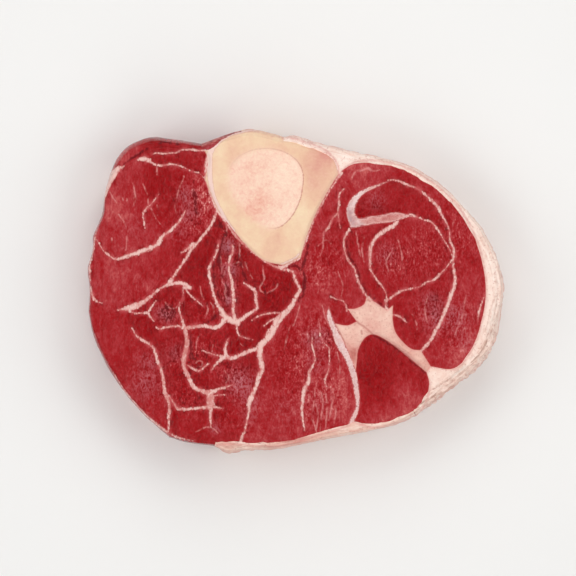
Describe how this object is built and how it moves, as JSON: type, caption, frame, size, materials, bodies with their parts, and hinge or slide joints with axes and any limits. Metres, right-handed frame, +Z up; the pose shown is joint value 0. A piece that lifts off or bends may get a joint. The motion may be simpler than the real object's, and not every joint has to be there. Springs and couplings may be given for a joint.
{
  "type": "raw beef shank slice",
  "caption": "Thick cross cut of a raw hind shank lying flat: round shin bone with its marrow at the edge, bundled red muscles, white seams, a tendon and a rim of fat.",
  "frame": {"origin": "on the surface that the slice lies on, under the middle of its box", "axes": "+X along the longest extent, towards the fat rim; +Y towards the shin bone; +Z up, across the thickness, from the lower cut face to the upper one"},
  "size_m": [0.167, 0.13, 0.0276],
  "materials": {
    "muscle": "raw beef muscle, moist, deep red with fine pale fibre ends",
    "tendon": "raw tendon, smooth and pearly grey pink",
    "fat": "raw beef fat, cream with a rosy tint, waxy",
    "bone": "sawn bone, dense and creamy yellow",
    "marrow": "marrow in spongy bone, pale pink, faintly mottled"
  },
  "bodies": {
    "root": {"bone": "bone", "marrow": "marrow", "fat_rim": "fat", "fat_pad": "fat", "fat_foot": "fat", "tendon_hook": "tendon", "tendon_strip": "tendon", "muscle_extensor": "muscle", "muscle_shin_side": "muscle", "muscle_flank": "muscle", "muscle_heel": "muscle", "muscle_centre": "muscle", "muscle_calf": "muscle", "muscle_outer_band": "muscle", "muscle_hook": "muscle", "muscle_strap": "muscle", "muscle_mid": "muscle", "muscle_inner_band": "muscle", "muscle_lobe": "muscle", "muscle_round": "muscle"}
  },
  "joints": []
}
